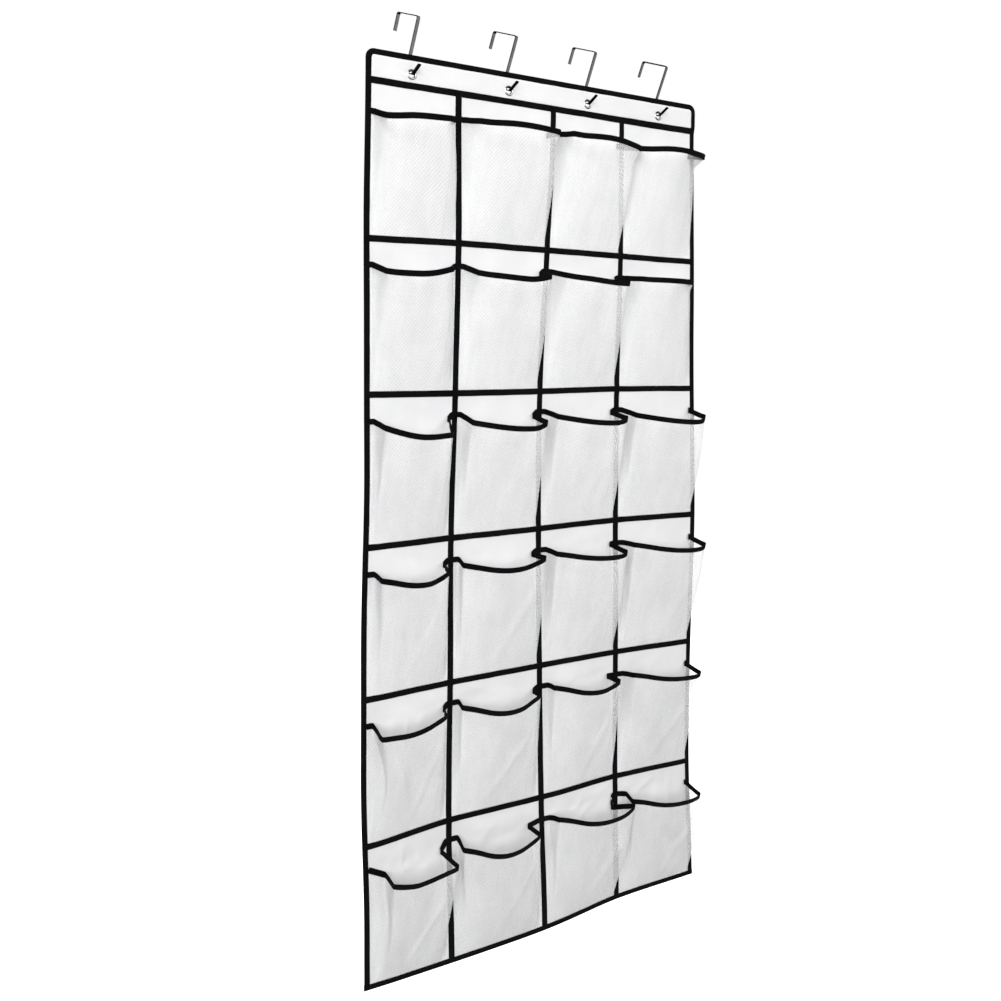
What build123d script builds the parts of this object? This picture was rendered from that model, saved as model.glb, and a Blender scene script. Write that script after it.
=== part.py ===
from build123d import *
from math import cos, hypot, radians, sin
import os

# Over-the-door shoe organizer: a fabric sheet with rows of mesh pockets, bound in black tape,
# hung from steel door hooks through grommets in its header band.
#
# Millimetres. +Z is up, -Y is the front (towards the user) and +X is to the user's right.
# The origin is the middle of the sheet's top edge, on the plane of the door that it hangs against.
# A depth is a distance in front of that plane, so a depth d lies at y = -d.

# The hanging sheet
PANEL_W = 640.0
PANEL_H = 1450.0
TOP_CORNER_R = 14.0
COLUMNS = 4
ROWS = 6
COLUMN_W = PANEL_W / COLUMNS

# Fabric layers, counted forwards from the door
BINDING_T = 0.8
SHEET_T = 0.9
FACING_T = 0.7
TAPE_T = 0.8
SHEET_BACK = BINDING_T
SHEET_FRONT = SHEET_BACK + SHEET_T
FACING_FRONT = SHEET_FRONT + FACING_T
TAPE_FRONT = SHEET_FRONT + TAPE_T

# Tapes, all sewn flat on the sheet
TAPE_W = 10.0
HEADER_DROP = 43.0
BOTTOM_TAPE_Z = TAPE_W / 2 - PANEL_H
ROW_PITCH = (-HEADER_DROP - BOTTOM_TAPE_Z) / ROWS
INNER_X = PANEL_W / 2 - TAPE_W
BRIDGE_LAP = 2.0

# Pockets
MESH_T = 1.0
MOUTH_DEPTH = 50.0
MOUTH_SAG = 16.0
MOUTH_DROP_FIRST = 46.0
MOUTH_DROP = 41.0
LEFT_INSET = 20.0
RIGHT_INSET = 10.0
TOE_DEPTH = 2.2
TOE_INSET = 1.0
POCKET_FLOOR = 2.0

# Rim tapes, folded over the pocket mouths
RIM_W = 9.0
RIM_T = 1.8

# Grommets in the header band
GROMMET_X = (-240.0, -70.0, 84.0, 235.0)
GROMMET_Z = -26.0
BORE_R = 4.5
BORE_ROUND = 2.1
BARREL_R = 5.5
FLANGE_R = 8.0
FLANGE_EDGE_T = 0.5
FLANGE_CROWN = 0.3
FLANGE_SHOULDER = 0.5
ROLL_R = 7.0
ROLL_T = 0.2
HEADER_MID = (SHEET_BACK + FACING_FRONT) / 2

# Door hooks, bent from flat strip, as they lie when they are square on a door
STRIP_W = 5.8
STRIP_T = 1.8
DOOR_GAP = 50.0
LEG_OFFSET = 11.8
LEG_RISE = 79.0
BACK_LEG = 27.5
TOE_FORWARD = 4.4
TIP_FORWARD = 16.0
TIP_RISE = 13.0
BEND_R = 3.0
HOOK_GAP = 1.1
HOOK_LEAN = 21.0
HOOK_SWIVEL = (17.0, 20.0, 18.0, 21.0)

# The grommet's bore is rounded, so a strip that rests in it turns about a line above the bore
PIVOT_RISE = 5.2
PIVOT_Z = GROMMET_Z + PIVOT_RISE
RUN_DROP = BORE_ROUND + HOOK_GAP + STRIP_T / 2


def front(depth):
    """A sketch plane at this depth, seen from the front: x is to the right and y is up."""
    return Plane.XZ.offset(depth)


def level(row):
    """Height of the tape along the foot of a row; row 0 is the header tape."""
    return -HEADER_DROP - ROW_PITCH * row


def divider_x(index):
    return -PANEL_W / 2 + COLUMN_W * index


def cell(column):
    """Left and right edge of the free sheet between two upright tapes."""
    left = divider_x(column - 1) + (TAPE_W if column == 1 else TAPE_W / 2)
    right = divider_x(column) - (TAPE_W if column == COLUMNS else TAPE_W / 2)
    return left, right


def save(piece, label):
    piece.label = label
    export_step(piece, f"parts/{label}.step")


def panel_outline(inset):
    """The sheet's outline, drawn in by inset: square at the foot and rounded at the top."""
    with BuildSketch(mode=Mode.PRIVATE) as outline:
        with Locations((0, -PANEL_H / 2)):
            Rectangle(PANEL_W - 2 * inset, PANEL_H - 2 * inset)
        fillet(outline.vertices().group_by(Axis.Y)[-1], TOP_CORNER_R - inset)
    return outline.sketch


def barrel_circles():
    """The round holes that the grommet barrels pass through."""
    with BuildSketch(mode=Mode.PRIVATE) as circles:
        with Locations(*[(x, GROMMET_Z) for x in GROMMET_X]):
            Circle(BARREL_R)
    return circles.sketch


def make_sheet():
    """The woven back sheet, inside the fold of the bindings, and the facing on its header band."""
    with BuildPart() as back_sheet:
        with BuildSketch(front(SHEET_BACK)):
            add(panel_outline(BINDING_T))
            add(barrel_circles(), mode=Mode.SUBTRACT)
        extrude(amount=SHEET_T)
    save(back_sheet.part, "back_sheet")

    facing_h = HEADER_DROP - TAPE_W * 1.5
    with BuildPart() as header_facing:
        with BuildSketch(front(SHEET_FRONT)):
            with Locations((0, -TAPE_W - facing_h / 2)):
                Rectangle(2 * INNER_X, facing_h)
            add(barrel_circles(), mode=Mode.SUBTRACT)
        extrude(amount=FACING_T)
        top_corners = header_facing.edges().filter_by(Axis.Y).group_by(Axis.Z)[-1]
        fillet(top_corners, TOP_CORNER_R - TAPE_W)
    save(header_facing.part, "header_facing")


def make_bindings():
    """Tape folded round the sheet's edge: one piece up the sides and over the top, one at the foot."""
    foot_top = TAPE_W - PANEL_H
    with BuildPart() as edge_binding:
        with BuildSketch(front(0)):
            add(panel_outline(0))
        extrude(amount=TAPE_FRONT)
        with BuildSketch(front(SHEET_BACK)):
            add(panel_outline(BINDING_T))
        extrude(amount=SHEET_T, mode=Mode.SUBTRACT)
        with BuildSketch(front(0)):
            add(panel_outline(TAPE_W))
        extrude(amount=TAPE_FRONT, mode=Mode.SUBTRACT)
        with BuildSketch(front(0)):
            with Locations((0, foot_top - TAPE_W)):
                Rectangle(PANEL_W, 2 * TAPE_W)
        extrude(amount=TAPE_FRONT, mode=Mode.SUBTRACT)
    save(edge_binding.part, "edge_binding")

    with BuildPart() as bottom_binding:
        with BuildSketch(front(0)):
            with Locations((0, BOTTOM_TAPE_Z)):
                Rectangle(PANEL_W, TAPE_W)
        extrude(amount=TAPE_FRONT)
        with BuildSketch(front(SHEET_BACK)):
            add(panel_outline(BINDING_T))
        extrude(amount=SHEET_T, mode=Mode.SUBTRACT)
    save(bottom_binding.part, "bottom_binding")


def make_cross_tapes():
    """The header tape and the tapes along the feet of the rows."""
    for row in range(ROWS):
        with BuildPart() as cross_tape:
            with BuildSketch(front(SHEET_FRONT)):
                with Locations((0, level(row))):
                    Rectangle(2 * INNER_X, TAPE_W)
            extrude(amount=TAPE_T)
        save(cross_tape.part, f"row_tape_{row}" if row else "header_tape")


def make_dividers():
    """Upright tapes from the header tape to the bottom binding, lifted over each row tape."""
    span = ROW_PITCH - TAPE_W
    for index in range(1, COLUMNS):
        with BuildPart() as divider:
            for row in range(1, ROWS + 1):
                with BuildSketch(front(SHEET_FRONT)):
                    with Locations((divider_x(index), level(row) + ROW_PITCH / 2)):
                        Rectangle(TAPE_W, span)
                extrude(amount=TAPE_T)
            for row in range(1, ROWS):
                with BuildSketch(front(TAPE_FRONT)):
                    with Locations((divider_x(index), level(row))):
                        Rectangle(TAPE_W, TAPE_W + 2 * BRIDGE_LAP)
                extrude(amount=TAPE_T)
        save(divider.part, f"divider_tape_{index}")


def mouth_height(row):
    """Height of a row's pocket mouths where they are sewn to the sheet, under the rim tape."""
    return level(row - 1) - (MOUTH_DROP_FIRST if row == 1 else MOUTH_DROP) - RIM_W / 2


def mouth_outline(row, column, wall):
    """The mouth's outline, drawn in by wall, on a plane that falls forwards by the sag."""
    left, right = cell(column)
    reach = MOUTH_DEPTH - SHEET_FRONT
    lip = hypot(reach, MOUTH_SAG) - wall
    mouth = Plane(
        origin=(0, -SHEET_FRONT, mouth_height(row)),
        x_dir=(1, 0, 0),
        z_dir=(0, -MOUTH_SAG, reach),
    )
    with BuildSketch(mouth, mode=Mode.PRIVATE) as outline:
        with BuildLine():
            Polyline(
                (left + wall, 0),
                (left + LEFT_INSET + wall, -lip),
                (right - RIGHT_INSET - wall, -lip),
                (right - wall, 0),
                close=True,
            )
        make_face()
    return outline.sketch


def toe_outline(row, column, wall):
    """The pocket's nearly flat foot, drawn in by wall, just above its row tape."""
    left, right = cell(column)
    z = level(row) + TAPE_W / 2 + (POCKET_FLOOR if wall else 0)
    with BuildSketch(Plane.XY.offset(z), mode=Mode.PRIVATE) as outline:
        with BuildLine():
            Polyline(
                (left + wall, -SHEET_FRONT),
                (left + TOE_INSET + wall, wall - SHEET_FRONT - TOE_DEPTH),
                (right - TOE_INSET - wall, wall - SHEET_FRONT - TOE_DEPTH),
                (right - wall, -SHEET_FRONT),
                close=True,
            )
        make_face()
    return outline.sketch


def make_pocket(row, column):
    """One mesh pocket: a front and two gussets, open at the mouth and against the sheet."""
    with BuildPart() as pocket:
        for wall, mode in ((0, Mode.ADD), (MESH_T, Mode.SUBTRACT)):
            mouth = mouth_outline(row, column, wall)
            toe = toe_outline(row, column, wall)
            loft([mouth.face(), toe.face()], ruled=True, mode=mode)
    save(pocket.part, f"pocket_r{row}_c{column}")


def make_rim(row):
    """The tape over one row of mouths: it follows each mouth and runs on over the dividers."""
    with BuildPart() as rim:
        for column in range(1, COLUMNS + 1):
            for wall, mode in ((0, Mode.ADD), (RIM_T, Mode.SUBTRACT)):
                mouth = mouth_outline(row, column, wall)
                extrude(mouth, amount=RIM_W, dir=(0, 0, 1), mode=mode)
        for index in range(1, COLUMNS):
            with BuildSketch(front(TAPE_FRONT)):
                with Locations((divider_x(index), mouth_height(row) + RIM_W / 2)):
                    Rectangle(TAPE_W + 2 * RIM_T, RIM_W)
            extrude(amount=TAPE_T)
    save(rim.part, f"rim_tape_{row}")


def make_grommet(index, x):
    """An eyelet with a rounded bore, and the washer that it is rolled over behind the header."""
    section = Plane(origin=(x, 0, GROMMET_Z), x_dir=(1, 0, 0), z_dir=(0, 0, 1))
    axis = Axis((x, 0, GROMMET_Z), (0, 1, 0))
    crown_r = BORE_R + BORE_ROUND
    with BuildPart() as grommet:
        with BuildSketch(section):
            with BuildLine():
                ThreePointArc(
                    (crown_r, BORE_ROUND - HEADER_MID),
                    (BORE_R, -HEADER_MID),
                    (crown_r, -BORE_ROUND - HEADER_MID),
                )
                ThreePointArc(
                    (crown_r, -BORE_ROUND - HEADER_MID),
                    (FLANGE_R - FLANGE_SHOULDER, -FACING_FRONT - FLANGE_EDGE_T - FLANGE_CROWN),
                    (FLANGE_R, -FACING_FRONT - FLANGE_EDGE_T),
                )
                Polyline(
                    (FLANGE_R, -FACING_FRONT - FLANGE_EDGE_T),
                    (FLANGE_R, -FACING_FRONT),
                    (BARREL_R, -FACING_FRONT),
                    (BARREL_R, 0),
                    (ROLL_R, 0),
                    (ROLL_R, ROLL_T),
                    (crown_r, BORE_ROUND - HEADER_MID),
                )
            make_face()
        revolve(axis=axis)
    save(grommet.part, f"grommet_{index}")

    with BuildPart() as washer:
        with BuildSketch(Plane.XZ):
            with Locations((x, GROMMET_Z)):
                Circle(FLANGE_R)
                Circle(BARREL_R, mode=Mode.SUBTRACT)
        extrude(amount=SHEET_BACK)
    save(washer.part, f"grommet_washer_{index}")


def hook_plane(x, swivel):
    """The plane that a hook is bent in: x runs back over the door and y runs up its leg."""
    lean = radians(HOOK_LEAN)
    turn = radians(swivel)
    return Plane(
        origin=(x, -HEADER_MID, PIVOT_Z),
        x_dir=(-sin(turn) * cos(lean), cos(turn) * cos(lean), sin(lean)),
        z_dir=(cos(turn), sin(turn), 0),
    )


def make_hook(index, x, swivel):
    """A strip bent to a door hook, with a short run through its grommet and a raised tip."""
    back = LEG_OFFSET + DOOR_GAP + STRIP_T
    with BuildPart() as hook:
        with BuildSketch(hook_plane(x, swivel)):
            with BuildLine() as spine:
                FilletPolyline(
                    (back, LEG_RISE - BACK_LEG),
                    (back, LEG_RISE),
                    (LEG_OFFSET, LEG_RISE),
                    (LEG_OFFSET, -RUN_DROP),
                    (-TOE_FORWARD, -RUN_DROP),
                    (-TIP_FORWARD, TIP_RISE),
                    radius=BEND_R,
                )
            trace(spine.line, line_width=STRIP_T)
        extrude(amount=STRIP_W / 2, both=True)
    save(hook.part, f"hook_{index}")


os.makedirs("parts", exist_ok=True)
make_sheet()
make_bindings()
make_cross_tapes()
make_dividers()
for row in range(1, ROWS + 1):
    make_rim(row)
    for column in range(1, COLUMNS + 1):
        make_pocket(row, column)
for index, (x, swivel) in enumerate(zip(GROMMET_X, HOOK_SWIVEL), start=1):
    make_grommet(index, x)
    make_hook(index, x, swivel)
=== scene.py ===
import bpy
import bmesh
from math import cos, pi, radians, sin, sqrt, tau

from mathutils import Matrix, Vector, noise


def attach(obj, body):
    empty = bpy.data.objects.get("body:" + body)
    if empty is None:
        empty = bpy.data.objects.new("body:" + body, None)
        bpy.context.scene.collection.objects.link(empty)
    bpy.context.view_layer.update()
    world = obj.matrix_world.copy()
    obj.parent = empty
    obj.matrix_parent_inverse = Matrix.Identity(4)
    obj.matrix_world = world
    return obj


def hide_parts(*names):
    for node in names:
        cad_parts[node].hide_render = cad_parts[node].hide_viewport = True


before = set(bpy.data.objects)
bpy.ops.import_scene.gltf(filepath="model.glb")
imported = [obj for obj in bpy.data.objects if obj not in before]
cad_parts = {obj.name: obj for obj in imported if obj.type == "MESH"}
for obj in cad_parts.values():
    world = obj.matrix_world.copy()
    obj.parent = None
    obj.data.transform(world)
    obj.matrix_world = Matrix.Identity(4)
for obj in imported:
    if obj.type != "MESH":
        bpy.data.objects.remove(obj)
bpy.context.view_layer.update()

MM = 0.001

# ---------------------------------------------------------------- the panel, as the CAD has it
PANEL_W, PANEL_H = 0.640, 1.450
TAPE_W, TAPE_T = 0.010, 0.0008
SHEET_BACK, SHEET_FRONT = 0.0008, 0.0017
FACING_FRONT = 0.0024
CORNER_R = 0.014
HEADER_DROP = 0.043
ROWS, COLUMNS = 6, 4
COLUMN_W = PANEL_W / COLUMNS
BOTTOM_Z = TAPE_W / 2 - PANEL_H
PITCH = (-HEADER_DROP - BOTTOM_Z) / ROWS
INNER_X = PANEL_W / 2 - TAPE_W
RIM_W, RIM_T = 0.0092, 0.0019
# How far below the seam above it a rim is sewn on, in the first row and in the others.
FIRST_RIM_DROP, RIM_DROP = 0.046, 0.041
# How much a rim leans out for each metre that it stands ahead of the sheet.
RIM_LEAN = 5.5
GROMMET_X = (-0.240, -0.070, 0.084, 0.235)
GROMMET_Z = -0.026
GROMMET_HOLE_R = 0.0066
CLOTH_T, FACING_T = 0.0007, 0.0005


def level(row):
    return -HEADER_DROP - PITCH * row


def divider_x(index):
    return -PANEL_W / 2 + COLUMN_W * index


def cell(column):
    left = divider_x(column - 1) + (TAPE_W if column == 1 else TAPE_W / 2)
    right = divider_x(column) - (TAPE_W if column == COLUMNS else TAPE_W / 2)
    return left, right


def rim_height(row):
    return level(row - 1) - (FIRST_RIM_DROP if row == 1 else RIM_DROP)


def smooth(a, b, x):
    """0 at a and 1 at b, with a soft start and end. a may be above b."""
    t = min(1.0, max(0.0, (x - a) / (b - a)))
    return t * t * (3 - 2 * t)


def mix(a, b, t):
    return a + (b - a) * t


# ---------------------------------------------------------------- how the limp sheet hangs
# Millimetres, by seam from the top edge to the foot, and by upright from left to right.
SEAM_Z = (0.0, -0.043, -0.277, -0.510, -0.744, -0.978, -1.211, -1.450)
DROP = (
    (-4, -4, -4, -4, -4),
    (0, 0, 0, 1, 1),
    (3, 1, 2, 3, 4),
    (6, 6, 5, 3, 4),
    (8, 6, 5, 3, 5),
    (12, 8, 8, 8, 12),
    (12, 4, 6, 3, 8),
    (4, 7, 5, -5, -10),
)
SIDE = (
    (0, 0, 0, 0, 0),
    (0, 0, 16, -4, -2),
    (0, 0, 5, -4, 3),
    (0, -5, -8, -9, 5),
    (0, -11, -8, -9, 8),
    (0, -13, -4, -6, 5),
    (0, -14, 1, -4, 5),
    (0, -9, 9, 2, 12),
)
FORWARD = (
    (0, 0, 0, 0, 0),
    (0, 0, 0, 0, 0),
    (0, 1, 0, 1, 0),
    (0, 1, 2, 1, 3),
    (1, 0, 1, 2, 8),
    (1, 2, 1, 3, 5),
    (1, 1, 2, 3, 6),
    (2, 3, 5, 4, 12),
)


def spline(a, b, c, d, t):
    """Catmull-Rom from b to c."""
    return 0.5 * (
        2 * b + (c - a) * t + (2 * a - 5 * b + 4 * c - d) * t * t + (3 * b - a - 3 * c + d) * t * t * t
    )


def field(table, x, z):
    """The table's value at a place on the sheet, smooth between its entries."""
    u = (x + PANEL_W / 2) / COLUMN_W
    i = min(COLUMNS - 1, max(0, int(u)))
    u = min(1.15, max(-0.15, u - i))
    j = 0
    while j < len(SEAM_Z) - 2 and z < SEAM_Z[j + 1]:
        j += 1
    v = min(1.1, max(-0.1, (z - SEAM_Z[j]) / (SEAM_Z[j + 1] - SEAM_Z[j])))
    rows = [min(len(table) - 1, max(0, j + k)) for k in (-1, 0, 1, 2)]
    cols = [min(COLUMNS, max(0, i + k)) for k in (-1, 0, 1, 2)]
    across = [spline(*(table[r][c] for c in cols), u) for r in rows]
    return spline(*across, v) * MM


def hang(x, depth, z):
    """A place on the ideal flat panel, moved to where the limp one hangs."""
    # the header holds the grommets, so it stays flat: only its top edge is lifted a little
    limp = smooth(-0.034, -0.050, z)
    lift = 4 * MM * smooth(-0.018, -0.010, z)
    drop = field(DROP, x, z) * limp - lift
    side = field(SIDE, x, z) * limp
    ahead = field(FORWARD, x, z) * limp
    ripple = 1.6 * MM * noise.noise(Vector((x * 9, z * 5, 3.0))) * limp
    # the left edge is drawn in towards the top corner and bows out lower down
    drawn = 3.5 * smooth(-0.25, 0.0, z) + 2.5 * smooth(-1.15, -0.5, z)
    drawn -= 4.5 * smooth(-1.35, -1.1, z) * smooth(-0.6, -0.9, z)
    side += drawn * MM * smooth(-0.285, -0.312, x)
    return Vector((x + side, -(depth + ahead + ripple), z - drop))


# ---------------------------------------------------------------- mesh helpers
def new_object(name, verts, faces, material, uvs=None):
    mesh = bpy.data.meshes.new(name)
    mesh.from_pydata([tuple(v) for v in verts], [], faces)
    mesh.validate()
    if uvs is not None:
        layer = mesh.uv_layers.new(name="cloth")
        for loop in mesh.loops:
            layer.data[loop.index].uv = uvs[loop.vertex_index]
    for poly in mesh.polygons:
        poly.use_smooth = True
    mesh.materials.append(material)
    obj = bpy.data.objects.new(name, mesh)
    bpy.context.scene.collection.objects.link(obj)
    return obj


def solidify(obj, thickness):
    """Thickness for a surface, half of it to each side, as real geometry."""
    mod = obj.modifiers.new("thick", "SOLIDIFY")
    mod.thickness = thickness
    mod.offset = 0.0
    graph = bpy.context.evaluated_depsgraph_get()
    mesh = bpy.data.meshes.new_from_object(obj.evaluated_get(graph))
    obj.modifiers.clear()
    obj.data = mesh


def curve_points(points, steps):
    """Catmull-Rom through the points, with steps per span."""
    pts = [2 * points[0] - points[1]] + list(points) + [2 * points[-1] - points[-2]]
    out = []
    for i in range(1, len(pts) - 2):
        for k in range(steps):
            out.append(Vector([spline(*(p[axis] for p in pts[i - 1:i + 3]), k / steps) for axis in range(3)]))
    out.append(Vector(points[-1]))
    return out


def resample(points, step):
    """Points at even distances along a line, about step apart."""
    lengths = [0.0]
    for a, b in zip(points, points[1:]):
        lengths.append(lengths[-1] + (b - a).length)
    count = max(2, round(lengths[-1] / step))
    out, i = [], 0
    for k in range(count + 1):
        s = lengths[-1] * k / count
        while i < len(points) - 2 and lengths[i + 1] < s:
            i += 1
        span = lengths[i + 1] - lengths[i]
        out.append(points[i].lerp(points[i + 1], (s - lengths[i]) / span if span > 0 else 0))
    return out


def tube(rings):
    """Verts and faces of a closed section carried along a path, with both ends shut."""
    n, last = len(rings[0]), len(rings) - 1
    faces = []
    for i in range(last):
        for k in range(n):
            m = (k + 1) % n
            faces.append((i * n + k, (i + 1) * n + k, (i + 1) * n + m, i * n + m))
    faces.append(tuple(range(n)))
    faces.append(tuple(last * n + k for k in reversed(range(n))))
    return [point for ring in rings for point in ring], faces


def tape_profile(width, thick):
    """A tape's section, with rounded edges and a groove under each line of stitches."""
    h, inset, groove = width / 2, 0.0014, 0.00025
    top = [
        (-h, 0.35), (-h + 0.0002, 0.8), (-h + 0.0006, 1.0), (-h + inset - 0.0004, 1.0),
        (-h + inset, 1.0 - groove / thick), (-h + inset + 0.0005, 1.0), (0.0, 1.06),
        (h - inset - 0.0005, 1.0), (h - inset, 1.0 - groove / thick), (h - inset + 0.0004, 1.0),
        (h - 0.0006, 1.0), (h - 0.0002, 0.8), (h, 0.35),
    ]
    return [(a, b * thick) for a, b in top] + [(h, 0.0), (-h, 0.0)]


# ---------------------------------------------------------------- materials
class Nodes:
    """A material's node tree, with short calls for the few nodes used here."""

    def __init__(self, name, colour, roughness, **sockets):
        self.mat = bpy.data.materials.new(name)
        self.mat.use_nodes = True
        self.tree = self.mat.node_tree
        self.shader = self.tree.nodes["Principled BSDF"]
        self.shader.inputs["Base Color"].default_value = (*colour, 1)
        self.shader.inputs["Roughness"].default_value = roughness
        for key, value in sockets.items():
            self.shader.inputs[key.replace("_", " ")].default_value = value

    def add(self, kind, **props):
        node = self.tree.nodes.new(kind)
        for key, value in props.items():
            setattr(node, key, value)
        return node

    def link(self, source, target):
        self.tree.links.new(source, target)

    def drive(self, name, value):
        """Links a value to one of the shader's own sockets."""
        self.link(value, self.shader.inputs[name])

    def put(self, socket, value):
        if isinstance(value, bpy.types.NodeSocket):
            self.link(value, socket)
        else:
            socket.default_value = value

    def math(self, operation, a, b=0.0, c=0.0):
        node = self.add("ShaderNodeMath", operation=operation)
        for socket, value in zip(node.inputs, (a, b, c)):
            self.put(socket, value)
        return node.outputs[0]

    def wave(self, value, rate):
        return self.math("SINE", self.math("MULTIPLY", value, rate))

    def coords(self, kind="Object"):
        return self.add("ShaderNodeTexCoord").outputs[kind]

    def axes(self, vector):
        return self.add_linked("ShaderNodeSeparateXYZ", vector).outputs

    def add_linked(self, kind, vector):
        node = self.add(kind)
        self.link(vector, node.inputs[0])
        return node

    def noise(self, vector, scale, detail=3.0, rough=0.55):
        node = self.add("ShaderNodeTexNoise")
        self.link(vector, node.inputs["Vector"])
        node.inputs["Scale"].default_value = scale
        node.inputs["Detail"].default_value = detail
        node.inputs["Roughness"].default_value = rough
        return node.outputs["Fac"]

    def remap(self, value, low, high, to_low=0.0, to_high=1.0):
        node = self.add("ShaderNodeMapRange")
        self.put(node.inputs["Value"], value)
        for key, number in (("From Min", low), ("From Max", high), ("To Min", to_low), ("To Max", to_high)):
            node.inputs[key].default_value = number
        return node.outputs["Result"]

    def shade(self, factor, dark, light):
        node = self.add("ShaderNodeMix", data_type="RGBA")
        self.put(node.inputs["Factor"], factor)
        node.inputs["A"].default_value = (*dark, 1)
        node.inputs["B"].default_value = (*light, 1)
        return node.outputs["Result"]

    def bump(self, height, distance, strength):
        node = self.add("ShaderNodeBump")
        self.link(height, node.inputs["Height"])
        node.inputs["Distance"].default_value = distance
        node.inputs["Strength"].default_value = strength
        self.drive("Normal", node.outputs["Normal"])


def weave(nodes, u, v, pitch):
    """Height of a plain weave: threads along u and v take turns on top."""
    wave_u, wave_v = nodes.wave(u, pi / pitch), nodes.wave(v, pi / pitch)
    over = nodes.math("MULTIPLY", wave_u, wave_v)
    ribs = nodes.math("MAXIMUM", nodes.math("ABSOLUTE", wave_u), nodes.math("ABSOLUTE", wave_v))
    return nodes.math("MULTIPLY_ADD", over, 0.5, ribs)


WEAVE_PITCH = 0.0011


def sheet_material():
    m = Nodes("white_cloth", (0.9, 0.9, 0.9), 0.85, Sheen_Weight=0.15, Sheen_Roughness=0.6)
    place = m.coords()
    x, _, z = m.axes(place)
    threads = weave(m, x, z, WEAVE_PITCH)
    patches = m.noise(place, 14.0)
    colour = m.shade(m.remap(patches, 0.3, 0.7), (0.61, 0.61, 0.62), (0.67, 0.67, 0.67))
    m.drive("Base Color", colour)
    m.drive("Roughness", m.remap(patches, 0.3, 0.7, 0.8, 0.92))
    m.bump(threads, 0.00012, 0.6)
    return m.mat


def tape_material(name, colour):
    m = Nodes(name, colour, 0.8, Specular_IOR_Level=0.015)
    place = m.coords()
    x, _, z = m.axes(place)
    ribs = m.wave(m.math("ADD", x, z), tau / WEAVE_PITCH)
    cross = m.wave(m.math("SUBTRACT", x, z), tau / WEAVE_PITCH)
    fuzz = m.noise(place, 900.0, 2.0)
    wear = m.noise(place, 22.0)
    height = m.math("ADD", m.math("MULTIPLY", m.math("MAXIMUM", ribs, cross), 0.6), fuzz)
    dark = tuple(c * 0.75 for c in colour)
    light = tuple(c * 1.5 for c in colour)
    m.drive("Base Color", m.shade(m.remap(wear, 0.3, 0.7), dark, light))
    m.drive("Roughness", m.remap(fuzz, 0.3, 0.7, 0.6, 0.8))
    m.bump(height, 0.00015, 0.7)
    return m.mat


def net_material():
    """Knitted net: two families of slanting threads with open diamonds between them."""
    m = Nodes("white_net", (0.97, 0.97, 0.97), 0.6, Specular_IOR_Level=0.3, Sheen_Weight=0.1)
    uv = m.add("ShaderNodeUVMap", uv_map="cloth").outputs["UV"]
    u, v, _ = m.axes(uv)
    pitch = 0.0021
    # the diamonds are taller than they are wide
    down = m.math("MULTIPLY", v, 0.62)
    one = m.math("ABSOLUTE", m.wave(m.math("ADD", u, down), pi / pitch))
    two = m.math("ABSOLUTE", m.wave(m.math("SUBTRACT", u, down), pi / pitch))
    thread = m.math("MINIMUM", one, two)
    # slanting courses are knitted tighter, which reads as a rib from farther off; the rib closes the holes a
    # little, and it also varies the base colour below as painted shade
    slant = m.math("SUBTRACT", u, m.math("MULTIPLY", v, 0.75))
    rib = m.wave(slant, tau / (2.5 * pitch))
    wide = m.math("SUBTRACT", thread, m.math("MULTIPLY", rib, 0.055))
    m.drive("Alpha", m.remap(wide, 0.37, 0.46, 1.0, 0.0))
    stretch = m.add("ShaderNodeMapping")
    m.link(uv, stretch.inputs["Vector"])
    stretch.inputs["Scale"].default_value = (4.0, 1.0, 1.0)
    streaks = m.noise(stretch.outputs["Vector"], 11.0, 3.0, 0.6)
    # painted shade: the base colour greys in step with the ribs, standing in for the threads' shadows on the
    # cloth behind; the stretched streaks are random tone
    painted_rib_shade_and_streaks = m.math("ADD", m.math("MULTIPLY", rib, 0.5), m.remap(streaks, 0.3, 0.7))
    colour = m.shade(m.remap(painted_rib_shade_and_streaks, -0.5, 1.5), (0.76, 0.76, 0.77), (1.0, 1.0, 1.0))
    m.drive("Base Color", colour)
    m.bump(thread, 0.0002, -0.5)
    return m.mat


def metal_material(name, colour, roughness, grain, sideways, level_at, upright_at):
    """Bright metal with a painted reflection: its base colour darkens where it turns away from the front,
    upwards or to the side, as dark surroundings mirrored in it would. sideways is how much a turn to the side
    counts, and the painted darkening grows from level_at to upright_at. grain: fine scratches."""
    m = Nodes(name, colour, roughness, Metallic=1.0)
    m.shader.inputs["Specular Tint"].default_value = (0.15, 0.15, 0.15, 1)
    place = m.coords()
    stretch = m.add("ShaderNodeMapping")
    m.link(place, stretch.inputs["Vector"])
    stretch.inputs["Scale"].default_value = (1.0, 1.0, 0.08)
    scratches = m.noise(stretch.outputs["Vector"], grain, 4.0, 0.7)
    smudges = m.remap(m.noise(place, 60.0), 0.3, 0.7, 0.0, 0.3)
    # painted reflection: the base colour turns dark where the normal turns up, down or to the side, standing
    # in for dark surroundings mirrored in the metal; the smudges are real dirt
    across, _, up = (m.math("ABSOLUTE", part) for part in m.axes(m.coords("Normal")))
    painted_reflection_dark = m.remap(m.math("MAXIMUM", up, m.math("MULTIPLY", across, sideways)), level_at, upright_at)
    dark = tuple(c * 0.06 for c in colour)
    m.drive("Base Color", m.shade(m.math("MAXIMUM", smudges, painted_reflection_dark), colour, dark))
    m.drive("Roughness", m.remap(scratches, 0.3, 0.7, roughness * 0.7, roughness * 1.5))
    m.bump(scratches, 0.00001, 0.3)
    return m.mat


CLOTH = sheet_material()
BLACK = tape_material("black_tape", (0.0028, 0.0028, 0.003))
THREAD = tape_material("black_thread", (0.020, 0.020, 0.021))
GREY_THREAD = tape_material("grey_thread", (0.34, 0.34, 0.34))
NET = net_material()
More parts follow.
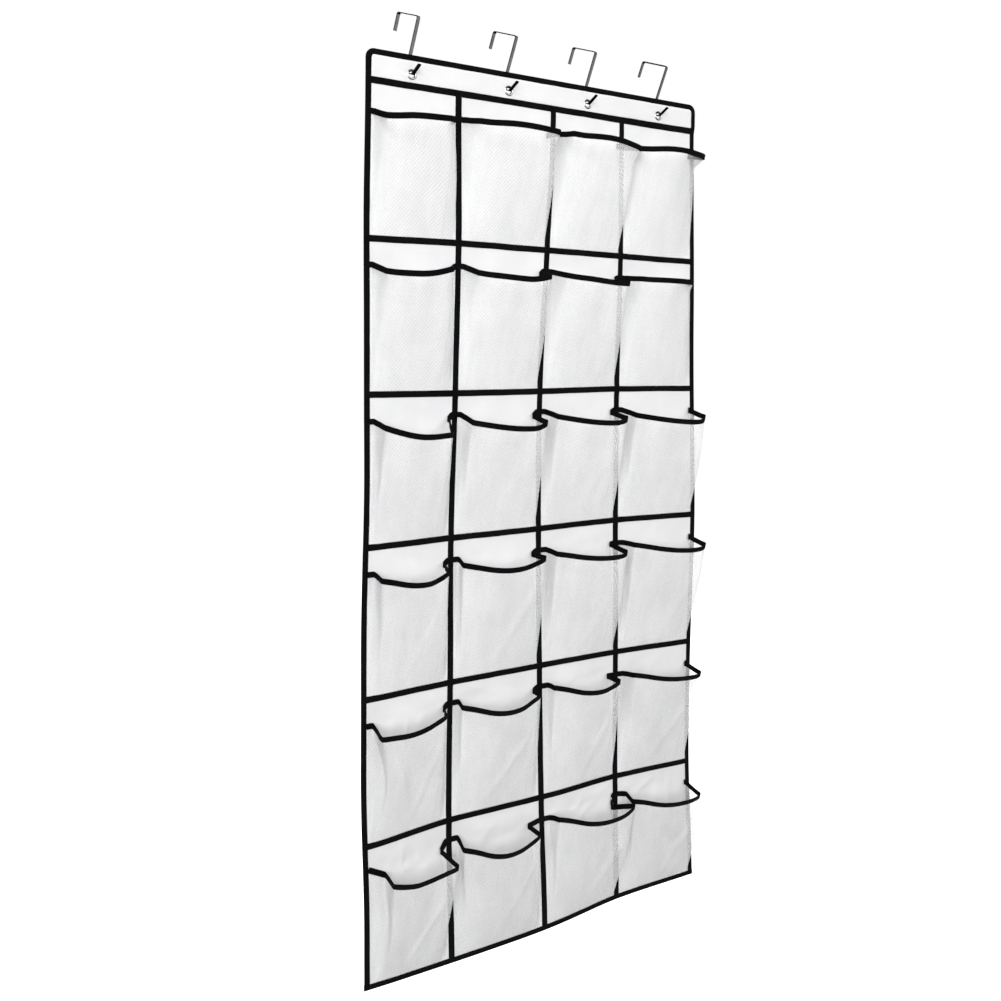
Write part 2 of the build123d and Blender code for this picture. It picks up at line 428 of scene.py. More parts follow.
# the last three numbers of each metal set where its painted dark reflection begins and how far it reaches
STEEL = metal_material("polished_steel", (0.18, 0.18, 0.185), 0.22, 700.0, 1.0, 0.40, 0.56)
NICKEL = metal_material("nickel", (0.50, 0.50, 0.49), 0.20, 900.0, 0.3, 0.10, 0.40)

# ---------------------------------------------------------------- white sheet and header facing
# Near the grommets the grid is finer, so that their holes come out round.
FINE_REACH, FINE_STEP = 0.0095, 0.0013


def grid_lines(low, high, step, fine_at):
    """Places for the lines of a grid, closer together near each of fine_at."""
    count = round((high - low) / step)
    lines = {round(mix(low, high, i / count), 5) for i in range(count + 1)}
    n = round(2 * FINE_REACH / FINE_STEP)
    for centre in fine_at:
        lines = {v for v in lines if abs(v - centre) > FINE_REACH + FINE_STEP / 2}
        lines |= {round(centre - FINE_REACH + 2 * FINE_REACH * i / n, 5) for i in range(n + 1)}
    return sorted(v for v in lines if low - 1e-6 <= v <= high + 1e-6)


def wrinkle(x, z):
    """Soft unevenness of the loose white cloth, least beside the tapes that hold it."""
    to_seam = min(abs(z - level(row)) for row in range(ROWS + 1))
    to_upright = min(abs(x - divider_x(index)) for index in range(COLUMNS + 1))
    hold = smooth(0.006, 0.030, min(to_seam, -z)) * smooth(0.010, 0.022, to_upright)
    # below each rim it keeps clear of the pocket's net, and lies flatter farther down
    row = min(ROWS, max(1, 1 + int((level(0) - z) / PITCH)))
    above = z - rim_height(row)
    beside_foot, beside_rim = smooth(0.014, 0.060, to_upright), smooth(0.032, 0.055, to_upright)
    beside = mix(beside_foot, beside_rim, smooth(-0.045, -0.020, above))
    hold *= mix(beside, 1.0, smooth(0.008, 0.020, above)) * mix(0.35, 1.0, smooth(-0.075, -0.025, above))
    broad = noise.noise(Vector((x * 16, 0.0, z * 22)))
    tight = noise.noise(Vector((x * 45 + z * 30, 5.0, z * 26)))
    limp = smooth(-0.30, -1.20, z)
    creased = noise.noise(Vector((x * 26 - z * 22, 9.0, z * 26 + x * 10)))
    crease = 2.2 * limp * max(0.0, 1 - abs(creased) * 2) ** 2
    return ((1.3 + 1.6 * limp) * broad + 0.8 * tight + crease) * MM * hold


def pull(x, z):
    """Faint creases fanning out of the grommets, which carry the weight."""
    total = 0.0
    clear = smooth(-0.0125, -0.018, z) * smooth(-0.0365, -0.031, z)
    for k, centre in enumerate(GROMMET_X):
        dx, dz = x - centre, z - GROMMET_Z
        r = sqrt(dx * dx + dz * dz)
        near = smooth(0.032, 0.012, r) * smooth(0.006, 0.011, r)
        total += 0.5 * MM * sin(4.0 * (dx * 60 + dz * 140 + k)) * near
    return total * clear


def cloth_grid(name, xs, zs, depth, loose):
    """A cloth surface with its grommet holes. loose: how much it wrinkles, from 0 to 1."""
    verts = [hang(x, depth + (wrinkle(x, z) * loose + pull(x, z)), z) for z in zs for x in xs]
    uvs = [(x, z) for z in zs for x in xs]
    faces = []
    nx = len(xs)
    for j in range(len(zs) - 1):
        for i in range(nx - 1):
            cx, cz = (xs[i] + xs[i + 1]) / 2, (zs[j] + zs[j + 1]) / 2
            if all((cx - g) ** 2 + (cz - GROMMET_Z) ** 2 >= GROMMET_HOLE_R ** 2 for g in GROMMET_X):
                faces.append((j * nx + i, j * nx + i + 1, (j + 1) * nx + i + 1, (j + 1) * nx + i))
    return new_object(name, verts, faces, CLOTH, uvs)


INSET = 0.004
xs = grid_lines(-PANEL_W / 2 + INSET, PANEL_W / 2 - INSET, 0.006, GROMMET_X)
zs = grid_lines(-PANEL_H + INSET, -INSET, 0.006, (GROMMET_Z,))
sheet = cloth_grid("back_cloth", xs, zs, (SHEET_BACK + SHEET_FRONT) / 2, 1.0)
solidify(sheet, CLOTH_T)
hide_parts("back_sheet")

xs = grid_lines(-INNER_X - 0.003, INNER_X + 0.003, 0.005, GROMMET_X)
zs = grid_lines(-HEADER_DROP + 0.002, -TAPE_W + 0.003, 0.005, (GROMMET_Z,))
facing = cloth_grid("header_cloth", xs, zs, (SHEET_FRONT + FACING_FRONT) / 2, 0.0)
solidify(facing, FACING_T)
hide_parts("header_facing")
for piece in (sheet, facing):
    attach(piece, "panel")

# ---------------------------------------------------------------- tapes sewn flat on the sheet
RIBBON_W, RIBBON_T = 0.0102, 0.0010
FRONT_PROFILE = tape_profile(RIBBON_W, RIBBON_T)


def tape_point(across_at, lift, upright, seed, s, a, b):
    """A point of a tape on the sheet: s along it, a across it and b up from its back."""
    waver = 0.35 * MM * noise.noise(Vector((s * 30, seed, 0.5)))
    swell = 1 + 0.03 * noise.noise(Vector((s * 55, seed, 7.5)))
    offset = a * swell + waver
    x, z = (across_at + offset, s) if upright else (s, across_at + offset)
    return hang(x, lift(s) + b, z)


def flat_tape(across_at, start, end, lift, upright, seed, step=0.004):
    """A tape on the sheet. upright: it runs down at x = across_at; otherwise across at z = across_at."""
    count = max(2, round(abs(end - start) / step))
    places = [mix(start, end, i / count) for i in range(count + 1)]
    return tube([
        [tape_point(across_at, lift, upright, seed, s, a, b) for a, b in FRONT_PROFILE] for s in places
    ])


def fix_normals(obj):
    bm = bmesh.new()
    bm.from_mesh(obj.data)
    bmesh.ops.recalc_face_normals(bm, faces=bm.faces)
    bm.to_mesh(obj.data)
    bm.free()


def finish_piece(obj, slot, *nodes):
    fix_normals(obj)
    if nodes:
        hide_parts(*nodes)
    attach(obj, "panel")


def on_sheet(s):
    """Depth of the back of a tape that lies on the sheet all along."""
    return SHEET_FRONT


def over_rows(s):
    """Depth of the back of an upright tape, which climbs over each row tape."""
    near = min(abs(s - level(row)) for row in range(1, ROWS))
    return SHEET_FRONT + TAPE_T * smooth(TAPE_W / 2 + 0.004, TAPE_W / 2, near)


DIVIDER_SEED = 20
for row in range(ROWS):
    node = f"row_tape_{row}" if row else "header_tape"
    ribbon = flat_tape(level(row), -INNER_X - 0.002, INNER_X + 0.002, on_sheet, False, row)
    finish_piece(new_object(f"{node}_ribbon", *ribbon, BLACK), "black_tape", node)
for index in range(1, COLUMNS):
    top, foot, seed = level(0) - 0.003, BOTTOM_Z + 0.003, DIVIDER_SEED + index
    ribbon = flat_tape(divider_x(index), top, foot, over_rows, True, seed, 0.003)
    finish_piece(new_object(f"divider_ribbon_{index}", *ribbon, BLACK), "black_tape", f"divider_tape_{index}")

# ---------------------------------------------------------------- bindings folded round the edge
# The section of a folded tape: how far in from the edge and how far forward of the back, in metres.
FOLD_PROFILE = [
    (0.0, 0.00090), (0.0003, 0.00025), (0.0010, 0.0), (0.0080, 0.0), (0.0085, 0.00018), (0.0090, 0.0),
    (0.0097, 0.0), (0.0100, 0.00030), (0.0100, 0.00070), (0.0014, 0.00072), (0.0009, 0.00125),
    (0.0014, 0.00178), (0.0100, 0.00180), (0.0100, 0.00220), (0.0097, 0.00250), (0.0090, 0.00255),
    (0.0085, 0.00232), (0.0080, 0.00255), (0.0045, 0.00262), (0.0010, 0.00255), (0.0003, 0.00225),
    (0.0, 0.00160),
]
# Steps along a side, along the top or the foot, and round a corner.
SIDE_STEPS, ACROSS_STEPS, CORNER_STEPS = 360, 160, 9


def binding_path():
    """Outline points and inward directions, up the left side, over the top and down the right."""
    half, foot = PANEL_W / 2, -PANEL_H + 0.0005
    sides = [i / SIDE_STEPS for i in range(SIDE_STEPS + 1)]
    turns = [pi / 2 * i / CORNER_STEPS for i in range(1, CORNER_STEPS)]
    points = [(-half, mix(foot, -CORNER_R, t), 1.0, 0.0) for t in sides]
    for a in turns:
        points.append((-half + CORNER_R * (1 - cos(a)), -CORNER_R + CORNER_R * sin(a), cos(a), -sin(a)))
    for i in range(ACROSS_STEPS + 1):
        points.append((mix(-half + CORNER_R, half - CORNER_R, i / ACROSS_STEPS), 0.0, 0.0, -1.0))
    for a in turns:
        points.append((half - CORNER_R * (1 - sin(a)), -CORNER_R * (1 - cos(a)), -sin(a), -cos(a)))
    return points + [(half, mix(-CORNER_R, foot, t), -1.0, 0.0) for t in sides]


def fold_point(points, seed, i, a, b):
    """A point of a folded tape: i counts along its path, a goes in from the edge and b forward."""
    k = min(int(i), len(points) - 2)
    x, z, ix, iz = (mix(p, q, i - k) for p, q in zip(points[k], points[k + 1]))
    inward = a * 0.94 * (1 + 0.03 * noise.noise(Vector((i * 0.16, seed, 1.5))))
    return hang(x + ix * inward, b, z + iz * inward)


def folded_tape(name, points, node, seed):
    rings = [[fold_point(points, seed, i, a, b) for a, b in FOLD_PROFILE] for i in range(len(points))]
    finish_piece(new_object(name, *tube(rings), BLACK), "black_tape", node)


edge_line = binding_path()
foot_end = PANEL_W / 2 + 0.0002
foot_line = [
    (mix(-foot_end, foot_end, i / ACROSS_STEPS), -PANEL_H, 0.0, 1.0) for i in range(ACROSS_STEPS + 1)
]
EDGE_SEED, FOOT_SEED = 40.0, 41.0
# About the distance between two points of these lines.
FOLD_STEP = 0.004
folded_tape("edge_fold", edge_line, "edge_binding", EDGE_SEED)
folded_tape("foot_fold", foot_line, "bottom_binding", FOOT_SEED)

# ---------------------------------------------------------------- pocket mouths
# Millimetres, for each pocket: flat is how far its left side lies on the sheet, near and far are how
# far its front corners stand in from the cell's edges, deep is how far forward the corners stand, the
# drops and the dip are below the rim's sewn height, low is where along the front it dips most, from 0
# to 1, and tuck and fold are where the right side folds back against the sheet and how low.
POCKET_KEYS = (
    "flat", "near", "deep_left", "left_drop", "low", "dip", "right_drop", "far", "deep_right", "tuck", "fold"
)
POCKETS = {
    (1, 1): (4, 18, 28, 10, 0.30, 10, 6, 21, 44, 8, 0),
    (1, 2): (3, 18, 28, -1, 0.50, 1, 3, 6, 46, 8, 0),
    (1, 3): (3, 20, 28, -3, 0.50, 1, 9, -16, 46, 7, 0),
    (1, 4): (3, 22, 28, 4, 0.55, 3, 8, 0, 46, 5, 0),
    (2, 1): (4, 18, 28, 9, 0.45, 13, 3, 21, 44, 8, 0),
    (2, 2): (4, 18, 28, 6, 0.65, 13, 6, 8, 46, 8, 0),
    (2, 3): (4, 20, 28, 1, 0.88, 11, 10, 4, 46, 8, 0),
    (2, 4): (4, 22, 28, -1, 0.50, 1, 1, 24, 44, 5, 0),
    (3, 1): (6, 16, 35, 9, 0.62, 23, 21, 17, 46, 8, 0),
    (3, 2): (5, 14, 35, 5, 0.80, 17, 9, 4, 47, 9, 0),
    (3, 3): (5, 15, 35, 1, 0.86, 15, 9, 1, 47, 8, 0),
    (3, 4): (5, 16, 35, 5, 0.90, 18, 10, 0, 47, 4, 0),
    (4, 1): (8, 12, 34, 5, 0.62, 15, 4, 17, 44, 9, 0),
    (4, 2): (7, 8, 28, 0, 0.58, 11, 0, 5, 46, 9, 0),
    (4, 3): (8, 14, 36, -2, 0.88, 13, 8, 0, 47, 8, 0),
    (4, 4): (6, 14, 36, -1, 0.88, 14, 8, -1, 47, 4, 0),
    (5, 1): (7, 9, 45, 7, 0.35, 9, -4, 20, 44, 8, 0),
    (5, 2): (8, 10, 22, -2, 0.52, 9, -3, 11, 36, 9, 0),
    (5, 3): (9, 13, 26, -6, 0.66, 6, -1, 11, 42, 14, 0),
    (5, 4): (6, 14, 34, -5, 0.90, 10, 7, 0, 47, 4, 0),
    (6, 1): (25, 28, 42, 12, 0.30, 19, 14, -1, 49, 11, 5),
    (6, 2): (8, 12, 24, 4, 0.55, 16, 0, 20, 46, 21, 3),
    (6, 3): (8, 16, 28, -7, 0.75, 12, -1, -16, 48, 5, 14),
    (6, 4): (15, 16, 28, 1, 0.80, 14, 9, 0, 47, 3, 0),
}
# How far the rim rises over each upright, from the left binding to the right one.
RISE = {
    1: (0, 6, 5, 0, 0),
    2: (2, 5, 6, 3, 3),
    3: (0, 7, 7, 4, 3),
    4: (0, 6, 5, 1, 3),
    5: (0, 7, 5, 0, 2),
    6: (4, 9, 2, 7, 3),
}
# How far forward of the panel's back the middle of every mouth stands, in millimetres.
DEEP = 49.5
# The items of a mouth's path that are the front's two corners.
LEFT_CORNER, RIGHT_CORNER = 5, 12


def mouth_path(row, column):
    """The rim's middle line over one pocket, from the left upright to the right one."""
    w = dict(zip(POCKET_KEYS, POCKETS[row, column]))
    left, right = (e / MM for e in cell(column))
    rise_l, rise_r = RISE[row][column - 1], RISE[row][column]
    a, b = left + w["near"], right - w["far"]
    ld, rd, dip, low = w["left_drop"], w["right_drop"], w["dip"], w["low"]
    fold_x, fold = right - w["tuck"], w["fold"]
    start = left + w["flat"]
    # a side that lies on the sheet for long also runs downhill there
    slope = 1.17 * max(0.0, w["flat"] - 12)
    points = [
        (left - 1, 3.4, rise_l),
        (start, 3.4, rise_l - 0.3 - slope),
        (start + 1.5, 6.5, mix(rise_l - slope, -ld, 0.14)),
        (mix(start + 1.5, a, 0.55), w["deep_left"] * 0.5, mix(rise_l - slope, -ld, 0.5)),
        (a - 0.8, w["deep_left"] * 0.88, mix(rise_l - slope, -ld, 0.88)),
        (a + 2.0, w["deep_left"], -ld),
    ]
    for u in (0.14, 0.32, 0.50, 0.68, 0.84, 0.94):
        if u < low:
            drop = mix(ld, dip, sin(pi / 2 * u / low))
        else:
            drop = mix(rd, dip, cos(pi / 2 * (u - low) / (1 - low)))
        if u < 0.6:
            deep = mix(w["deep_left"], DEEP, smooth(0.0, 0.45, u))
        else:
            deep = mix(w["deep_right"], DEEP, smooth(1.0, 0.6, u))
        points.append((mix(a + 2, b, u), deep, -drop))
    points += [
        (b, w["deep_right"] - 3, -rd),
        (mix(b, fold_x, 0.2), w["deep_right"] * 0.76, -mix(rd, fold, 0.2)),
        (mix(b, fold_x, 0.6), w["deep_right"] * 0.45, -mix(rd, fold, 0.6)),
        (fold_x + 0.5, 9.0, -mix(rd, fold, 0.95)),
        (fold_x - 0.8, 5.4, -fold),
        (fold_x + 1.5, 3.7, mix(-fold, rise_r, 0.12)),
        (mix(fold_x, right, 0.6), 3.5, mix(-fold, rise_r, 0.6)),
        (right - 0.5, 3.4, rise_r - 0.2),
    ]
    base = rim_height(row) / MM
    return [Vector((x * MM, d * MM, (base + z) * MM)) for x, d, z in points]


def rim_section(width, thick):
    """A tape folded in half over the net's edge, round at the fold and open at the foot."""
    h, t = width / 2, thick / 2
    return [
        (-t, -h + 0.0003), (-t * 0.8, -h), (-t * 0.25, -h), (0.0, -h + 0.0006), (t * 0.25, -h),
        (t * 0.8, -h), (t, -h + 0.0003), (t, -h + 0.0012), (t * 0.82, -h + 0.0016), (t, -h + 0.0020),
        (t, h - 0.0012), (t * 0.75, h - 0.0003), (t * 0.3, h), (-t * 0.3, h), (-t * 0.75, h - 0.0003),
        (-t, h - 0.0012), (-t, -h + 0.0020), (-t * 0.82, -h + 0.0016), (-t, -h + 0.0012),
    ]


def path_frames(points):
    """Frames for a standing band: u across its thickness and v up its width, leaning out as the net does."""
    frames = []
    for i, p in enumerate(points):
        t = (points[min(i + 1, len(points) - 1)] - points[max(i - 1, 0)]).normalized()
        lean = Vector((0, RIM_LEAN * p.y, 1))
        up = (lean - t * t.dot(lean)).normalized()
        frames.append((p, t.cross(up), up))
    return frames


RIM_PROFILE = rim_section(RIM_W, RIM_T)
RIM_STEP = 0.0016
RIM_CLEAR = SHEET_FRONT + 0.0014
rim_frames = []
for row in range(1, ROWS + 1):
    line = []
    for column in range(1, COLUMNS + 1):
        line += mouth_path(row, column)
    # the curve may swing back between its points, so it is held in front of the sheet
    line = [Vector((p.x, max(p.y, RIM_CLEAR), p.z)) for p in curve_points(line, 6)]
    frames = path_frames([hang(*p) for p in resample(line, RIM_STEP)])
    rim_frames.append(frames)
    rim = tube([[p + u * a + v * b for a, b in RIM_PROFILE] for p, u, v in frames])
    finish_piece(new_object(f"rim_ribbon_{row}", *rim, BLACK), "black_tape", f"rim_tape_{row}")

# ---------------------------------------------------------------- net pockets
# Steps down a pocket, across either side of it and across its front.
DOWN, SIDE_COLUMNS, FRONT_COLUMNS = 48, 22, 56
# How far above its seam a pocket's net turns down into it and ends, and how far forward that is.
TOE_UP, HEM_UP, NET_BACK = 0.0054, 0.0035, 0.0019
# Where the right-hand crease of a pocket ends at its foot, in millimetres in from the upright.
CREASE_FOOT = {
    (1, 1): 9, (2, 1): 12, (3, 1): 10, (4, 1): 10, (5, 1): 12, (6, 1): 17, (5, 2): 12, (6, 2): 12, (2, 4): 9,
}
# Where the left crease ends at its foot, in from the upright, and how far it bows to the right.
LEFT_CREASE = {
    (5, 1): (9, 12), (6, 1): (21, 4), (5, 4): (12, 4), (6, 2): (14, 3), (6, 4): (14, 6), (4, 1): (12, 4),
}
# How far the net stands out over the upright at its right, in millimetres, where it does.
BULGE = {
    (1, 1): 8, (1, 2): 4, (1, 3): 4, (2, 1): 4, (2, 2): 4, (6, 3): 3, (1, 4): 2, (2, 4): 2, (3, 4): 3,
    (6, 4): 4,
}
# How much of its depth a pocket's right side loses just under the rim.
TUCK = {(1, 4): 0.55, (2, 4): 0.2, (5, 4): 0.15}


def ridge(offset, width):
    """A soft crease's height beside its line, from 1 on it to 0 at a few widths."""
    return 1.0 / (1.0 + (offset / width) ** 2) ** 2


def soften(verts, across, down, reach):
    """Rounds the creases of a grid of points, but not at its rim, its foot or its two sides."""
    for j in range(down):
        amount = smooth(0.0, 8.0, j) * smooth(down - 3, down - 9, j)
        line = [verts[i * down + j] for i in range(across)]
        for i in range(1, across - 1):
            k = min(reach, i, across - 1 - i)
            average = sum(line[i - k:i + k + 1], Vector()) / (2 * k + 1)
            verts[i * down + j] = line[i].lerp(average, amount)


def pocket_surface(row, column):
    """Verts, faces and uvs of one pocket's net, and the line of the seam beside its right crease."""
    left, right = cell(column)
    control = mouth_path(row, column)
    foot_in = CREASE_FOOT.get((row, column), 3) * MM
    left_foot, crease_bow = (value * MM for value in LEFT_CREASE.get((row, column), (10, 0)))
    toe_z = level(row) + TOE_UP
    lines = []
    for span, count, x0, x1 in (
        (control[:LEFT_CORNER + 1], SIDE_COLUMNS, left + 0.0005, left + left_foot),
        (control[LEFT_CORNER:RIGHT_CORNER + 1], FRONT_COLUMNS, left + left_foot, right - foot_in),
        (control[RIGHT_CORNER:], SIDE_COLUMNS, right - foot_in, right - 0.0005),
    ):
        points = curve_points(span, 8)
        line = resample(points, sum((q - p).length for p, q in zip(points, points[1:])) / count)
        lines.append([(p, mix(x0, x1, i / (len(line) - 1))) for i, p in enumerate(line)])
    columns = lines[0] + lines[1][1:] + lines[2][1:]
    seam_line = {}
    first, last = len(lines[0]) - 1, len(lines[0]) + len(lines[1]) - 2
    seed = row * 7.3 + column * 3.1
    lean = noise.noise(Vector((seed, 0.3, 0.0)))
    verts, uvs = [], []
    run = 0.0
    for i, (mouth, toe_x) in enumerate(columns):
        if i:
            run += (mouth - columns[i - 1][0]).length
        on_front = smooth(first - 3, first + 3, i) * smooth(last + 3, last - 3, i)
        across = (i - first) / (last - first)
        right_side = smooth(0.55, 1.0, across) * smooth(last + 16, last + 2, i)
        toe_depth = mix(2.1, 2.8, on_front) * MM
        for j in range(DOWN + 2):
            s = min(j, DOWN) / DOWN
            x = mix(mouth.x, toe_x, s)
            z = mix(mouth.z, toe_z, s)
            depth = mix(mouth.y, toe_depth, s ** mix(1.05, 1.25, right_side))
            swell = sin(pi * s)
            to_right = smooth(last - 24, last, i)
            depth *= 1 - TUCK.get((row, column), 0) * smooth(0.0, 0.1, s) * to_right
            x += BULGE.get((row, column), 1) * MM * swell * to_right * smooth(len(columns) - 1, last, i)
            fold = noise.noise(Vector((x * 26 + z * 10, seed, z * 7)))
            small = noise.noise(Vector((x * 80 - z * 45, seed + 4, z * 26)))
            limp = smooth(0.5, 5.5, row)
            unevenness = mix(2.0, 4.5, limp) * fold + 0.9 * small + 3.0 * right_side - 0.4
            depth += swell * on_front * unevenness * MM
            # the seam beside the right crease, and slack folds slanting down from the corners
            seam = (right - mix(0.016, 0.027, s)) - x
            if on_front > 0.5 and seam > 0:
                seam_line[j] = i
            depth += 0.9 * MM * ridge(seam, 0.0013) * on_front * swell ** 0.5
            slant = across - 0.12 - 0.75 * s * (0.6 + 0.5 * lean)
            depth += mix(1.2, 3.4, limp) * MM * ridge(slant, 0.05) * on_front * swell * smooth(0.75, 0.35, s)
            back = across - 0.95 + 0.8 * (s - 0.15) * (0.8 - 0.4 * lean)
            depth += mix(1.0, 3.0, limp) * MM * ridge(back, 0.04) * on_front * swell * smooth(0.1, 0.3, s)
            x += crease_bow * swell * smooth(0, first, i) * smooth(first + 22, first, i)
            if i <= first:
                # the left gusset buckles along a line from its sewn corner to the front crease
                g = i / first
                dent = g - 0.15 - 1.1 * s
                sunk = mix(2.0, 9.0, smooth(4, 5, row) * smooth(2, 1, column))
                x += sunk * MM * ridge(dent, 0.35) * sin(pi * g) * swell
                x -= 1.6 * MM * smooth(0.3, 0.8, s) * sin(pi * g) * swell
            elif i >= last:
                g = (len(columns) - 1 - i) / (len(columns) - 1 - last)
                x += (1.6 + 2.0 * fold) * MM * sin(pi * g) * swell
            if j > DOWN:
                z, depth = level(row) + HEM_UP, NET_BACK
            verts.append(hang(x, max(depth, NET_BACK), z))
            uvs.append((run, z))
    n = DOWN + 2
    soften(verts, len(columns), n, round(mix(9, 2, smooth(1, 3.5, row))))
    faces = []
    for i in range(len(columns) - 1):
        for j in range(DOWN + 1):
            faces.append((i * n + j, i * n + j + 1, (i + 1) * n + j + 1, (i + 1) * n + j))
    seam_points = [
        verts[i * n + j].lerp(verts[(i + 1) * n + j], 0.5)
        for j, i in sorted(seam_line.items()) if 2 < j < DOWN - 1
    ]
    return verts, faces, uvs, seam_points


seams = []
for row in range(1, ROWS + 1):
    for column in range(1, COLUMNS + 1):
        verts, faces, uvs, seam = pocket_surface(row, column)
        seams.append(seam)
        pocket = new_object(f"net_r{row}_c{column}", verts, faces, NET, uvs)
        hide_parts(f"pocket_r{row}_c{column}")
        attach(pocket, "panel")

# ---------------------------------------------------------------- stitches
STITCH, STITCH_PITCH = 0.0028, 0.0044
THREAD_HALF, THREAD_OUT, THREAD_IN = 0.00027, 0.0003, 0.0001
# Where the groove of a flat tape is: out from its middle line, and up from its back.
GROOVE_OUT, GROOVE_UP = 0.0037, 0.00075
# Where the grooves of a folded tape are: in from its edge, and forward on its front and on its back.
FOLD_GROOVE, FOLD_FRONT, FOLD_BACK = 0.0085, 0.00232, 0.00018
# Where the groove of a rim is: up from its foot, and out from its middle as a share of its thickness.
RIM_GROOVE, RIM_GROOVE_OUT = 0.0016, 0.41
AHEAD, BEHIND = Vector((0, -1, 0)), Vector((0, 1, 0))


class Stitches:
    """Rows of stitches, each a short spindle of thread that dips into the cloth at both ends."""

    def __init__(self):
        self.verts, self.faces = [], []

    def row(self, place, out, start, end, unit=1.0):
        """Stitches from start to end. place(s) is a point of the line and unit is the length of one s."""
        s = start + STITCH_PITCH / unit / 2
        while s + STITCH / unit < end:
            p, q = place(s), place(s + STITCH / unit)
            way = out(s) if callable(out) else out
            side = (q - p).cross(way).normalized() * THREAD_HALF
            middle = (p + q) / 2
            ring = (middle + side, middle + way * THREAD_OUT, middle - side, middle - way * THREAD_IN)
            base = len(self.verts)
            self.verts += [p, q, *ring]
            turns = [(base + 2 + k, base + 2 + (k + 1) % 4) for k in range(4)]
            self.faces += [(base, k, m) for k, m in turns] + [(base + 1, m, k) for k, m in turns]
            s += STITCH_PITCH / unit

    def make(self, name, material, slot):
        finish_piece(new_object(name, self.verts, self.faces, material), slot)


on_tapes, on_bindings, on_rims, on_nets = Stitches(), Stitches(), Stitches(), Stitches()
for row in range(ROWS):
    for a in (-GROOVE_OUT, GROOVE_OUT):
        z = level(row) + a
        on_tapes.row(
            lambda s: tape_point(level(row), on_sheet, False, row, s, a, GROOVE_UP), AHEAD, -INNER_X, INNER_X
        )
        on_tapes.row(lambda s: hang(s, SHEET_BACK, z), BEHIND, -INNER_X, INNER_X)
for index in range(1, COLUMNS):
    for a in (-GROOVE_OUT, GROOVE_OUT):
        x = divider_x(index) + a
        on_tapes.row(
            lambda s: tape_point(divider_x(index), over_rows, True, DIVIDER_SEED + index, s, a, GROOVE_UP),
            AHEAD, BOTTOM_Z + 0.004, level(0),
        )
        on_tapes.row(lambda s: hang(x, SHEET_BACK, s), BEHIND, BOTTOM_Z + 0.010, level(0))
for line, seed in ((edge_line, EDGE_SEED), (foot_line, FOOT_SEED)):
    for b, out in ((FOLD_FRONT, AHEAD), (FOLD_BACK, BEHIND)):
        on_bindings.row(
            lambda s: fold_point(line, seed, s, FOLD_GROOVE, b), out, 0, len(line) - 1, FOLD_STEP
        )


def rim_place(frames, side, s):
    """A point of the stitch line along the foot of a rim, on its back or its front."""
    k = min(int(s), len(frames) - 2)
    ends = [
        p + u * side * RIM_T * RIM_GROOVE_OUT + v * (RIM_GROOVE - RIM_W / 2) for p, u, v in frames[k:k + 2]
    ]
    return ends[0].lerp(ends[1], s - k)


def line_place(points, s):
    """A point just ahead of a line, s steps along it."""
    k = int(s)
    return points[k].lerp(points[min(k + 1, len(points) - 1)], s - k) + AHEAD * 0.0002


for frames in rim_frames:
    for side in (-1, 1):
        on_rims.row(
            lambda s: rim_place(frames, side, s), lambda s: frames[int(s)][1] * side,
            0, len(frames) - 1, RIM_STEP,
        )
for seam in seams:
    points = resample(seam, RIM_STEP)
    on_nets.row(lambda s: line_place(points, s), AHEAD, 0, len(points) - 1, RIM_STEP)
on_tapes.make("tape_stitches", THREAD, "black_tape")
on_bindings.make("binding_stitches", THREAD, "black_tape")
on_rims.make("rim_stitches", THREAD, "black_tape")
on_nets.make("net_seam_stitches", GREY_THREAD, "white_mesh")

# ---------------------------------------------------------------- metal
for k in range(1, 5):
    for node, material in ((f"hook_{k}", STEEL), (f"grommet_{k}", NICKEL), (f"grommet_washer_{k}", NICKEL)):
        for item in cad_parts[node].material_slots:
            item.material = material

# ---------------------------------------------------------------- studio
# The white all round is for the eye and for reflections. Only the lamps light the cloth.
white = bpy.data.worlds.new("studio")
bpy.context.scene.world = white
white.use_nodes = True
white.node_tree.nodes["Background"].inputs["Color"].default_value = (1, 1, 1, 1)
white.node_tree.nodes["Background"].inputs["Strength"].default_value = 1.0
white.cycles_visibility.diffuse = False
bpy.context.scene.view_settings.view_transform = "Standard"

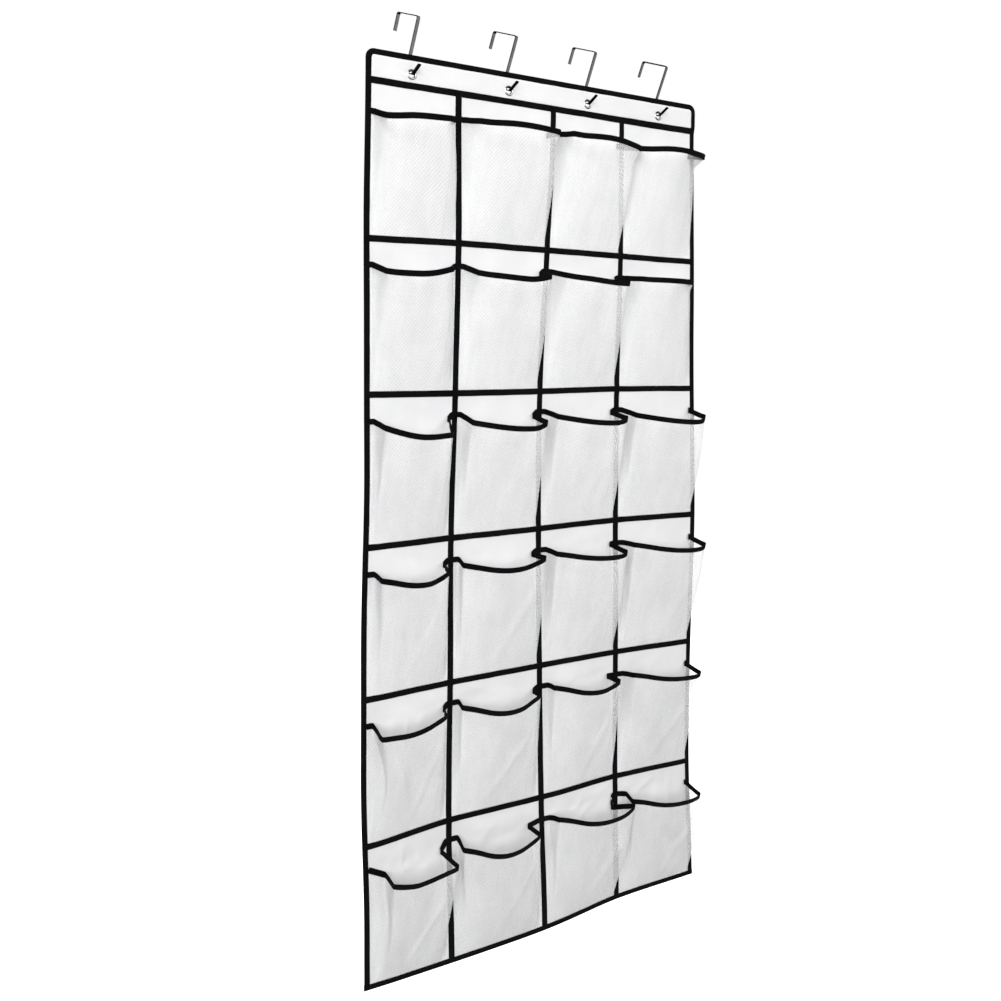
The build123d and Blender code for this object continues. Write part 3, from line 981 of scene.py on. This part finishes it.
FLOOR_Z = -1.75
floor_mat = Nodes("pale_floor", (0.8, 0.8, 0.8), 0.9)
floor_mat.shader.inputs["Emission Color"].default_value = (1, 1, 1, 1)
floor_mat.shader.inputs["Emission Strength"].default_value = 0.98
bpy.ops.mesh.primitive_plane_add(size=30, location=(0, 0, FLOOR_Z))
floor = bpy.context.object
floor.name = "floor"
floor.data.materials.append(floor_mat.mat)
floor.visible_diffuse = False


def area_light(name, place, aim, size, power):
    lamp = bpy.data.lights.new(name, "AREA")
    lamp.shape = "DISK"
    lamp.size = size
    lamp.energy = power
    obj = bpy.data.objects.new(name, lamp)
    obj.location = place
    obj.rotation_euler = (Vector(aim) - Vector(place)).to_track_quat("-Z", "Y").to_euler()
    bpy.context.scene.collection.objects.link(obj)


# Name, place, aim, width and watts.
area_light("key", (1.2, -3.5, 0.9), (0, 0, -0.6), 3.6, 106)
area_light("fill", (-2.6, -3.3, 0.8), (0, 0, -0.6), 3.8, 226)
area_light("top", (0.0, -1.0, 2.4), (0, 0, -0.5), 1.8, 14)
area_light("rear", (0.6, 2.8, 0.6), (0, 0, -0.7), 2.6, 110)

# ---------------------------------------------------------------- camera, at the viewing angle
YAW, PITCH_DOWN, ROLL = radians(28.355), radians(2.824), radians(0.315)
CAMERA_AT = Vector((-0.7744, -1.2851, -0.4577))
camera_data = bpy.data.cameras.new("camera")
camera_data.sensor_width = 36.0
camera_data.lens = 31.874
camera_data.shift_y = -0.0999
camera = bpy.data.objects.new("camera", camera_data)
bpy.context.scene.collection.objects.link(camera)
ahead = Vector((sin(YAW), cos(YAW), 0))
side = Vector((cos(YAW), -sin(YAW), 0))
look = ahead * cos(PITCH_DOWN) - Vector((0, 0, 1)) * sin(PITCH_DOWN)
up = ahead * sin(PITCH_DOWN) + Vector((0, 0, 1)) * cos(PITCH_DOWN)
right_axis = side * cos(ROLL) + up * sin(ROLL)
up_axis = up * cos(ROLL) - side * sin(ROLL)
camera.matrix_world = Matrix(
    (
        (right_axis.x, up_axis.x, -look.x, CAMERA_AT.x),
        (right_axis.y, up_axis.y, -look.y, CAMERA_AT.y),
        (right_axis.z, up_axis.z, -look.z, CAMERA_AT.z),
        (0, 0, 0, 1),
    )
)
bpy.context.scene.camera = camera
